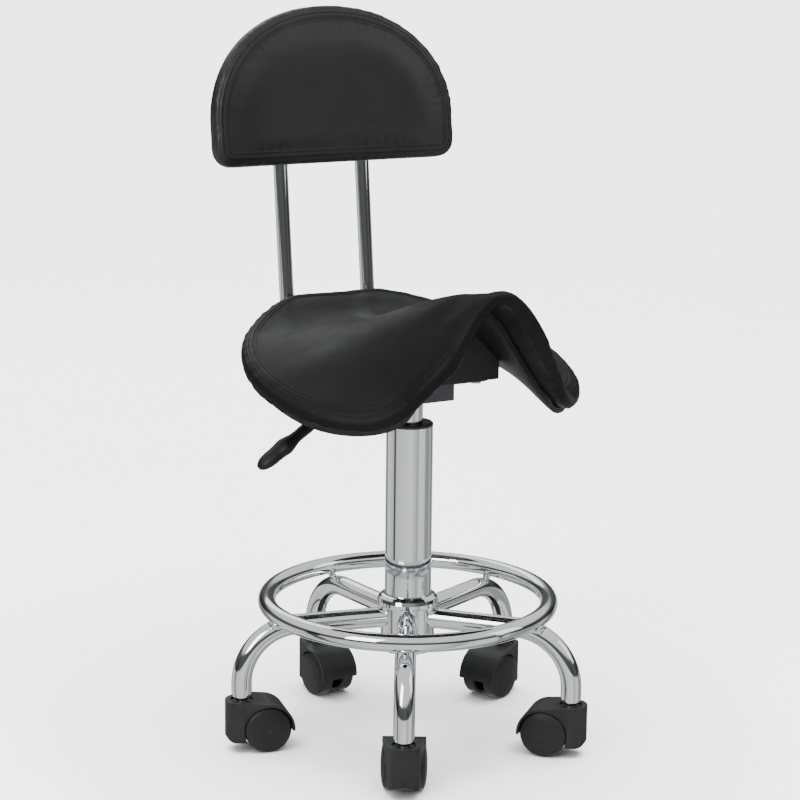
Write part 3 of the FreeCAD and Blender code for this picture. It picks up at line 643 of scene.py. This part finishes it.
class StoolView(bpy.types.PropertyGroup):
    """Camera and light."""

    camera_place: bpy.props.FloatVectorProperty(
        name="Camera", description="Where the camera stands", subtype="TRANSLATION",
        size=3, default=(-1.2, -2.0785, 0.9015))
    azimuth: bpy.props.FloatProperty(
        name="Azimuth", description="Turn of the view about the column", subtype="ANGLE",
        default=math.radians(-29.747))
    pitch: bpy.props.FloatProperty(
        name="Pitch", description="How far the camera looks down", subtype="ANGLE",
        default=math.radians(12.45))
    roll: bpy.props.FloatProperty(
        name="Roll", description="Tilt of the camera about its view", subtype="ANGLE",
        default=math.radians(0.59))
    lens: bpy.props.FloatProperty(
        name="Lens", description="Focal length on a 36 mm sensor", unit="CAMERA",
        default=104.49, min=10.0, max=300.0)
    world_light: bpy.props.FloatProperty(
        name="Studio light", description="Brightness of the white surroundings", default=1.0)
    ceiling: bpy.props.FloatProperty(
        name="Ceiling", description="Brightness overhead, against the surroundings", default=0.9)
    overhead: bpy.props.FloatProperty(
        name="Overhead light", description="Strength of the light straight down", default=11.0)


# ---- operators ----------------------------------------------------------------------------

class STOOL_OT_stage(bpy.types.Operator):
    """Pale floor, soft lights, white surroundings with dark flags, and the camera"""

    bl_idname = "stool.stage"
    bl_label = "Stage"

    def execute(self, context):
        view = context.scene.stool_view
        self.floor()
        self.surroundings(context, view.world_light, view.ceiling)
        for name, place, size, power in (
            ("key", (-1.9, -0.9, 1.5), 1.0, 32.0),
            ("fill", (1.9, -1.4, 1.4), 1.0, 6.0),
            ("back", (0.4, 2.3, 1.9), 1.2, 8.0),
        ):
            self.softbox(name, place, size, power)
        self.overhead(view.overhead)
        self.camera(context, view)
        return {"FINISHED"}

    def floor(self):
        reach = 30.0
        count = 96
        ring = [
            (reach * math.cos(2 * math.pi * k / count), reach * math.sin(2 * math.pi * k / count), 0.0)
            for k in range(count)
        ]
        floor = mesh_object("floor", ring, [tuple(range(count))], smooth=False)
        s = Shader("floor_paper")
        s.link(s.blend(s.noise(3.0), (0.9, 0.9, 0.9), (0.92, 0.92, 0.92)), "Base Color")
        s.surface.inputs["Roughness"].default_value = 0.9
        s.surface.inputs["Specular IOR Level"].default_value = 0.1
        floor.data.materials.append(s.material)
        floor.visible_glossy = False

    def surroundings(self, context, light, ceiling):
        """White room with darker upright flags, which give the chrome its streaks."""
        world = bpy.data.worlds.new("studio")
        context.scene.world = world
        world.use_nodes = True
        tree = world.node_tree
        new = tree.nodes.new
        link = tree.links.new
        coords = new("ShaderNodeTexCoord")
        parts = new("ShaderNodeSeparateXYZ")
        link(coords.outputs["Generated"], parts.inputs[0])
        turn = new("ShaderNodeMath")
        turn.operation = "ARCTAN2"
        link(parts.outputs["X"], turn.inputs[0])
        link(parts.outputs["Y"], turn.inputs[1])
        round_room = self.ramp(tree, turn.outputs[0], -math.pi, math.pi, (
            (0.0, 0.75), (0.06, 1.0), (0.14, 0.9), (0.22, 0.8), (0.265, 0.75), (0.28, 0.10),
            (0.30, 0.10), (0.315, 0.7), (0.42, 0.9), (0.47, 0.25), (0.50, 0.25), (0.55, 0.9),
            (0.66, 0.6), (0.70, 0.15), (0.74, 0.6), (0.78, 0.35), (0.83, 0.35), (0.87, 0.9),
            (0.93, 0.95), (0.97, 0.5), (1.0, 0.75)))
        upward = self.ramp(tree, parts.outputs["Z"], -1.0, 1.0, (
            (0.0, 1.0), (0.46, 1.0), (0.485, 0.10), (0.63, 0.12), (0.71, 1.0), (1.0, 1.0)))
        overhead = new("ShaderNodeMapRange")
        link(parts.outputs["Z"], overhead.inputs["Value"])
        overhead.inputs["From Min"].default_value = 0.1
        overhead.inputs["From Max"].default_value = 0.3
        room = new("ShaderNodeMix")
        room.data_type = "RGBA"
        link(overhead.outputs[0], room.inputs["Factor"])
        link(round_room, room.inputs["A"])
        room.inputs["B"].default_value = (ceiling, ceiling, ceiling, 1.0)
        both = new("ShaderNodeMix")
        both.data_type = "RGBA"
        both.blend_type = "MULTIPLY"
        both.inputs["Factor"].default_value = 1.0
        link(room.outputs["Result"], both.inputs["A"])
        link(upward, both.inputs["B"])
        back = tree.nodes["Background"]
        seen = new("ShaderNodeMix")
        seen.data_type = "RGBA"
        link(new("ShaderNodeLightPath").outputs["Is Camera Ray"], seen.inputs["Factor"])
        link(both.outputs["Result"], seen.inputs["A"])
        seen.inputs["B"].default_value = (3.3, 3.3, 3.3, 1.0)
        link(seen.outputs["Result"], back.inputs["Color"])
        back.inputs["Strength"].default_value = light

    def ramp(self, tree, source, low, high, stops):
        """Grey levels at places between low and high."""
        span = tree.nodes.new("ShaderNodeMapRange")
        tree.links.new(source, span.inputs["Value"])
        span.inputs["From Min"].default_value = low
        span.inputs["From Max"].default_value = high
        made = tree.nodes.new("ShaderNodeValToRGB")
        tree.links.new(span.outputs[0], made.inputs[0])
        made.color_ramp.interpolation = "EASE"
        while len(made.color_ramp.elements) < len(stops):
            made.color_ramp.elements.new(0.5)
        for element, (place, level) in zip(made.color_ramp.elements, stops):
            element.position = place
            element.color = (level, level, level, 1.0)
        return made.outputs["Color"]

    def overhead(self, power):
        """Even light straight down, which keeps the paper white."""
        lamp = bpy.data.lights.new("overhead", "SUN")
        lamp.energy = power
        lamp.angle = math.radians(70)
        made = bpy.data.objects.new("overhead", lamp)
        made.visible_glossy = False
        bpy.context.scene.collection.objects.link(made)

    def softbox(self, name, place, size, power):
        lamp = bpy.data.lights.new(name, "AREA")
        lamp.shape = "RECTANGLE"
        lamp.size = size
        lamp.size_y = size * 1.5
        lamp.energy = power
        made = bpy.data.objects.new(name, lamp)
        made.location = place
        aim = Vector((0.0, 0.0, 0.42)) - Vector(place)
        made.rotation_euler = aim.to_track_quat("-Z", "Y").to_euler()
        bpy.context.scene.collection.objects.link(made)

    def camera(self, context, view):
        cam = bpy.data.cameras.new("camera")
        cam.lens = view.lens
        cam.sensor_width = 36.0
        cam.clip_end = 200.0
        made = bpy.data.objects.new("camera", cam)
        context.scene.collection.objects.link(made)
        upright = Matrix.Rotation(view.azimuth, 3, "Z") @ Matrix.Rotation(math.pi / 2 - view.pitch, 3, "X")
        turned = upright @ Matrix.Rotation(view.roll, 3, "Z")
        made.matrix_world = Matrix.Translation(view.camera_place) @ turned.to_4x4()
        context.scene.camera = made


class STOOL_OT_hardware(bpy.types.Operator):
    """Finishes for every metal and moulded piece of the frame"""

    bl_idname = "stool.hardware"
    bl_label = "Metal and plastic"

    def execute(self, context):
        made = finishes()
        slots = {s["node"]: s["material_slot"] for s in frame["record"]["subparts"]}
        for node, obj in frame["nodes"].items():
            material = made[slots[node]]
            if obj.data.materials:
                for k in range(len(obj.data.materials)):
                    obj.data.materials[k] = material
            else:
                obj.data.materials.append(material)
        return {"FINISHED"}


class STOOL_OT_saddle(bpy.types.Operator):
    """The padded saddle, its front seam and the seam's two rows of stitches"""

    bl_idname = "stool.saddle"
    bl_label = "Saddle"

    def execute(self, context):
        pad = context.scene.stool_padding
        made = finishes()
        cover = node_copy("seat_cushion", "saddle_cover")
        remesh(cover, pad.voxel)
        relax(cover, 22)
        inflate(cover, pad.pressure, pad.saddle_cap, self.free_of_rim(cover))
        relax(cover, 10)
        subdivide(cover)
        rows, normals = self.seam_grid(cover, pad)
        mark_distance(cover, rows[len(rows) // 2], 0.03)
        cover.data.polygons.foreach_set("use_smooth", [True] * len(cover.data.polygons))
        strip, stitches = sew("saddle", rows, normals, SADDLE_STRIP, SEED)
        finish_piece(cover, made["seat_leatherette"], "seat_leatherette", "seat", "seat_cushion")
        finish_piece(strip, made["seat_leatherette"], "seat_leatherette", "seat")
        finish_piece(stitches, made["thread"], "seat_leatherette", "seat")
        return {"FINISHED"}

    def edge_of(self, cover, turns):
        """Furthest reach of the saddle in plan, at even angles from straight ahead."""
        co = points_of(cover)
        angle = np.arctan2(co[:, 0], -co[:, 1])
        radius = np.hypot(co[:, 0], co[:, 1])
        edge = np.zeros(turns)
        np.maximum.at(edge, ((angle + math.pi) / (2 * math.pi) * turns).astype(int) % turns, radius)
        return even_out(edge, 10)

    def free_of_rim(self, cover):
        turns = 240
        edge = self.edge_of(cover, turns)
        turn = (np.arange(turns) + 0.5) / turns * 2 * math.pi - math.pi
        outline = np.stack([edge * np.sin(turn), -edge * np.cos(turn)], 1)
        reach = bpy.context.scene.stool_padding.rim_hold
        return rim_freedom(points_of(cover)[:, :2], outline, reach)

    def seam_grid(self, cover, pad):
        """Rows of points inside the front edge, dropped onto the saddle's top."""
        turns = 720
        edge = self.edge_of(cover, turns)
        turn = (np.arange(turns) + 0.5) / turns * 2 * math.pi - math.pi
        outline = np.stack([edge * np.sin(turn), -edge * np.cos(turn)], 1)
        line = resample(outline, 1000)
        inward = inward_of(line, 12)
        rows = []
        outer = pad.seam_inset - STRIP_MARGIN
        step = (pad.seam_width + 2 * STRIP_MARGIN) / (len(SADDLE_STRIP) - 1)
        for r in range(len(SADDLE_STRIP)):
            row = line + inward * (outer + r * step)
            rows.append([(x, y, 0.0) for x, y in row])
        places, normals = drape(tree_of(cover), rows, (0.0, 0.0, -1.0), SEAT_TOP + 0.1)
        for r in range(len(places)):
            places[r] = even_out(places[r], 6)
            normals[r] = even_out(normals[r], 12)
        return places, normals


def sew(name, rows, normals, heights, seed):
    """The sewn strip over a grid of places, and the two rows of stitches in its grooves."""
    strip = seam_strip(name + "_seam", rows, normals, heights)
    lines = [rows[r] + normals[r] * STITCH_LIFT for r in STITCH_ROWS]
    values = {"Pitch": bpy.context.scene.stool_padding.stitch_pitch, "Seed": seed}
    stitches = run_tree(name + "_stitches", stitch_tree(finishes()["thread"]), lines, values)
    return strip, stitches


def rim_freedom(flat, outline, reach):
    """0 for points at an outline seen square on, rising to 1 inside it."""
    near = finder([(x, y, 0.0) for x, y in outline])
    away = np.array([near.find((x, y, 0.0))[2] for x, y in flat])
    share = np.clip(away / reach, 0.0, 1.0)
    return share * share * (3 - 2 * share)


def finder(line):
    """A search tree over a line's points."""
    tree = KDTree(len(line))
    for k, p in enumerate(line):
        tree.insert(p, k)
    tree.balance()
    return tree


def mark_distance(obj, line, reach):
    """Store how near each point lies to a seam, for its creases."""
    near = finder(line)
    values = [max(0.0, 1.0 - near.find(v.co)[2] / reach) ** 2 for v in obj.data.vertices]
    attribute = obj.data.attributes.new("seam", "FLOAT", "POINT")
    attribute.data.foreach_set("value", values)
    return np.array(values)


class STOOL_OT_backrest(bpy.types.Operator):
    """The padded back, with its crowned front, sewn edge and puckers"""

    bl_idname = "stool.backrest"
    bl_label = "Backrest"

    RINGS = 30              # from the edge to the middle, on each face
    CROWN_POWER = 2.2       # how soon a face reaches its depth inside the edge
    MIDDLE_UP = 0.075       # middle of the rings over the bottom edge
    DEEP_HALF = 0.085       # half width of the thick part of the bottom edge, round the rods
    DEEP_FADE = 0.045       # over which it thins towards the corners
    DEEP_RISE = 0.016       # and upwards
    PUCKER_WAVES = (520, 815, 46)   # radians per metre: two pulls, and where they come and go
    PUCKER_DEPTH = 0.0004

    def execute(self, context):
        pad = context.scene.stool_padding
        made = finishes()
        self.place = self.leaning(pad.lean)
        outline = self.outline(pad.outline_grow)
        cover = self.closed_pad(outline, pad)
        remesh(cover, pad.voxel * 0.8)
        relax(cover, 4)
        flat = (points_of(cover) @ np.array(self.place.to_3x3()))[:, (0, 2)]
        inflate(cover, pad.pressure, pad.back_cap, rim_freedom(flat, outline, pad.rim_hold))
        relax(cover, 2)
        subdivide(cover)
        rows, normals = self.seam_grid(cover, pad)
        near = mark_distance(cover, rows[len(rows) // 2], 0.028)
        self.pucker(cover, near, rows[len(rows) // 2])
        cover.data.polygons.foreach_set("use_smooth", [True] * len(cover.data.polygons))
        strip, stitches = sew("backrest", rows, normals, BACK_STRIP, SEED + 1)
        finish_piece(
            cover, made["back_leatherette"], "back_leatherette", "seat",
            "backrest_cushion", "backrest_rear_pad")
        finish_piece(strip, made["back_leatherette"], "back_leatherette", "seat")
        finish_piece(stitches, made["thread"], "back_leatherette", "seat")
        return {"FINISHED"}

    def leaning(self, lean):
        """Turn that stands the leaning pad upright, with its points in that frame."""
        turn = Matrix.Rotation(-lean, 4, "X")
        upright = np.array(turn.to_3x3())
        self.front = points_of(frame["nodes"]["backrest_cushion"]) @ upright
        self.rear = points_of(frame["nodes"]["backrest_rear_pad"]) @ upright
        return turn

    def outline(self, grow):
        """The D seen square on, as even points round its edge."""
        order = convex_outline(self.front[:, (0, 2)])
        line = resample(order, 360)
        middle = (line.min(0) + line.max(0)) / 2
        half = (line.max(0) - line.min(0)) / 2
        return middle + (line - middle) * (half + np.array([grow, -grow / 2])) / half

    def closed_pad(self, outline, pad):
        """Rings from the edge to the middle: a gently crowned front and a deeper rear."""
        front = self.front
        centre = np.abs(front[:, 0]) < 0.02
        edge = np.abs(front[:, 0]) > 0.138
        face = front[centre, 1].min()
        bend = (face - front[edge, 1].min()) / np.abs(front[edge, 0]).mean() ** 2
        back = self.rear[np.abs(self.rear[:, 0]) < 0.02, 1].max()
        self.ahead = face - 0.05
        bottom = outline[:, 1].min()
        middle = np.array([0.0, bottom + self.MIDDLE_UP])
        low = 1.0 - np.clip((outline[:, 1] - bottom - 0.002) / self.DEEP_RISE, 0.0, 1.0)
        inner = 1.0 - np.clip((np.abs(outline[:, 0]) - self.DEEP_HALF) / self.DEEP_FADE, 0.0, 1.0)
        deep = low * inner
        deep = deep * deep * (3 - 2 * deep)
        rim = face + pad.rim_back
        rim_rear = rim + pad.rim_thickness
        rim_rear = rim_rear + (back - 0.002 - rim_rear) * deep
        rings = self.RINGS
        vertices = []
        for front_side in (True, False):
            for r in range(rings):
                ring = outline + (middle - outline) * (r / rings) ** 1.15
                inset = np.linalg.norm(ring - outline, axis=1)
                reach = pad.edge_roll if front_side else pad.rear_roll
                roll = np.clip(inset / reach, 0.0, 1.0)
                rise = 1 - (1 - roll) ** self.CROWN_POWER
                if front_side:
                    y = rim - (pad.rim_back + pad.crown) * rise
                else:
                    y = rim_rear + (back - rim_rear) * rise
                y = y - bend * ring[:, 0] ** 2
                vertices += [(x, v, z) for (x, z), v in zip(ring, y)]
            vertices.append((middle[0], face - pad.crown if front_side else back, middle[1]))
        count = len(outline)
        block = rings * count + 1
        faces = []
        for f in range(2):
            base = f * block
            for r in range(rings - 1):
                for c in range(count):
                    d = (c + 1) % count
                    a = base + r * count
                    faces.append((a + c, a + d, a + count + d, a + count + c))
            last = base + (rings - 1) * count
            for c in range(count):
                faces.append((last + c, last + (c + 1) % count, base + block - 1))
        for c in range(count):
            d = (c + 1) % count
            faces.append((c, d, block + d, block + c))
        home = np.array(self.place.inverted().to_3x3())
        return mesh_object("backrest_cover", np.array(vertices) @ home, faces)

    def seam_grid(self, cover, pad):
        """Rows inside the edge of the front face, cast back onto the padding."""
        upright = points_of(cover) @ np.array(self.place.to_3x3())
        line = even_out(resample(convex_outline(upright[:, (0, 2)]), 720), 6)
        inward = inward_of(line, 20)
        centre = line.mean(0)
        if ((centre - line) * inward).sum() < 0:
            inward = -inward
        back = np.array(self.place.inverted().to_3x3())
        rows = []
        outer = pad.back_inset - 0.001
        step = (pad.seam_width + 2 * STRIP_MARGIN) / (len(BACK_STRIP) - 1)
        for r in range(len(BACK_STRIP)):
            flat = line + inward * (outer + r * step)
            row = np.stack([flat[:, 0], np.full(len(flat), self.ahead), flat[:, 1]], 1) @ back
            rows.append([tuple(p) for p in row])
        toward = np.array([0.0, 1.0, 0.0]) @ back
        places, normals = drape(tree_of(cover), rows, tuple(toward), 0.2)
        for r in range(len(places)):
            places[r] = even_out(places[r], 6)
            normals[r] = even_out(normals[r], 12)
        return places, normals

    def pucker(self, cover, near, line):
        """Small pulls across the seam, where the cover is gathered round the D."""
        along = np.concatenate(([0.0], np.cumsum(np.linalg.norm(np.diff(line, axis=0), axis=1))))
        find = finder(line)
        co = points_of(cover)
        rng = np.random.default_rng(SEED)
        phase = rng.uniform(0, 2 * math.pi, 3)
        normals = np.array([v.normal for v in cover.data.vertices])
        for k in np.nonzero(near > 0.02)[0]:
            s = along[find.find(co[k])[1]]
            first, second, slow = self.PUCKER_WAVES
            wave = math.sin(s * first + phase[0]) + 0.6 * math.sin(s * second + phase[1])
            gate = 0.5 + 0.5 * math.sin(s * slow + phase[2])
            co[k] += normals[k] * near[k] * wave * gate * self.PUCKER_DEPTH
        set_points(cover, co)


def convex_outline(points):
    """The hull of flat points, anticlockwise."""
    rows = sorted(set((round(float(x), 6), round(float(z), 6)) for x, z in points))

    def half(seq):
        chain = []
        for p in seq:
            while len(chain) >= 2:
                (ax, az), (bx, bz) = chain[-2], chain[-1]
                if (bx - ax) * (p[1] - az) - (bz - az) * (p[0] - ax) > 0:
                    break
                chain.pop()
            chain.append(p)
        return chain[:-1]

    return np.array(half(rows) + half(rows[::-1]))


PIECES = (
    ("stage", "Stage"),
    ("hardware", "Metal and plastic"),
    ("saddle", "Saddle"),
    ("backrest", "Backrest"),
)


class STOOL_PT_panel(bpy.types.Panel):
    """Lists the stool's pieces and settings"""

    bl_label = "Dentist stool"
    bl_idname = "STOOL_PT_panel"
    bl_space_type = "VIEW_3D"
    bl_region_type = "UI"
    bl_category = "Stool"

    def draw(self, context):
        for name, label in PIECES:
            self.layout.operator("stool." + name, text=label)
        for group in ("stool_finish", "stool_padding", "stool_view"):
            settings = getattr(context.scene, group)
            box = self.layout.box()
            for field in settings.bl_rna.properties.keys():
                if field not in ("rna_type", "name"):
                    box.prop(settings, field)


CLASSES = (
    StoolFinish, StoolPadding, StoolView,
    STOOL_OT_stage, STOOL_OT_hardware, STOOL_OT_saddle, STOOL_OT_backrest,
    STOOL_PT_panel,
)


def register():
    for cls in CLASSES:
        bpy.utils.register_class(cls)
    bpy.types.Scene.stool_finish = bpy.props.PointerProperty(type=StoolFinish)
    bpy.types.Scene.stool_padding = bpy.props.PointerProperty(type=StoolPadding)
    bpy.types.Scene.stool_view = bpy.props.PointerProperty(type=StoolView)


def unregister():
    for group in ("stool_finish", "stool_padding", "stool_view"):
        delattr(bpy.types.Scene, group)
    for cls in reversed(CLASSES):
        bpy.utils.unregister_class(cls)


def main():
    register()
    for name, _ in PIECES:
        getattr(bpy.ops.stool, name)()


if __name__ == "__main__":
    main()
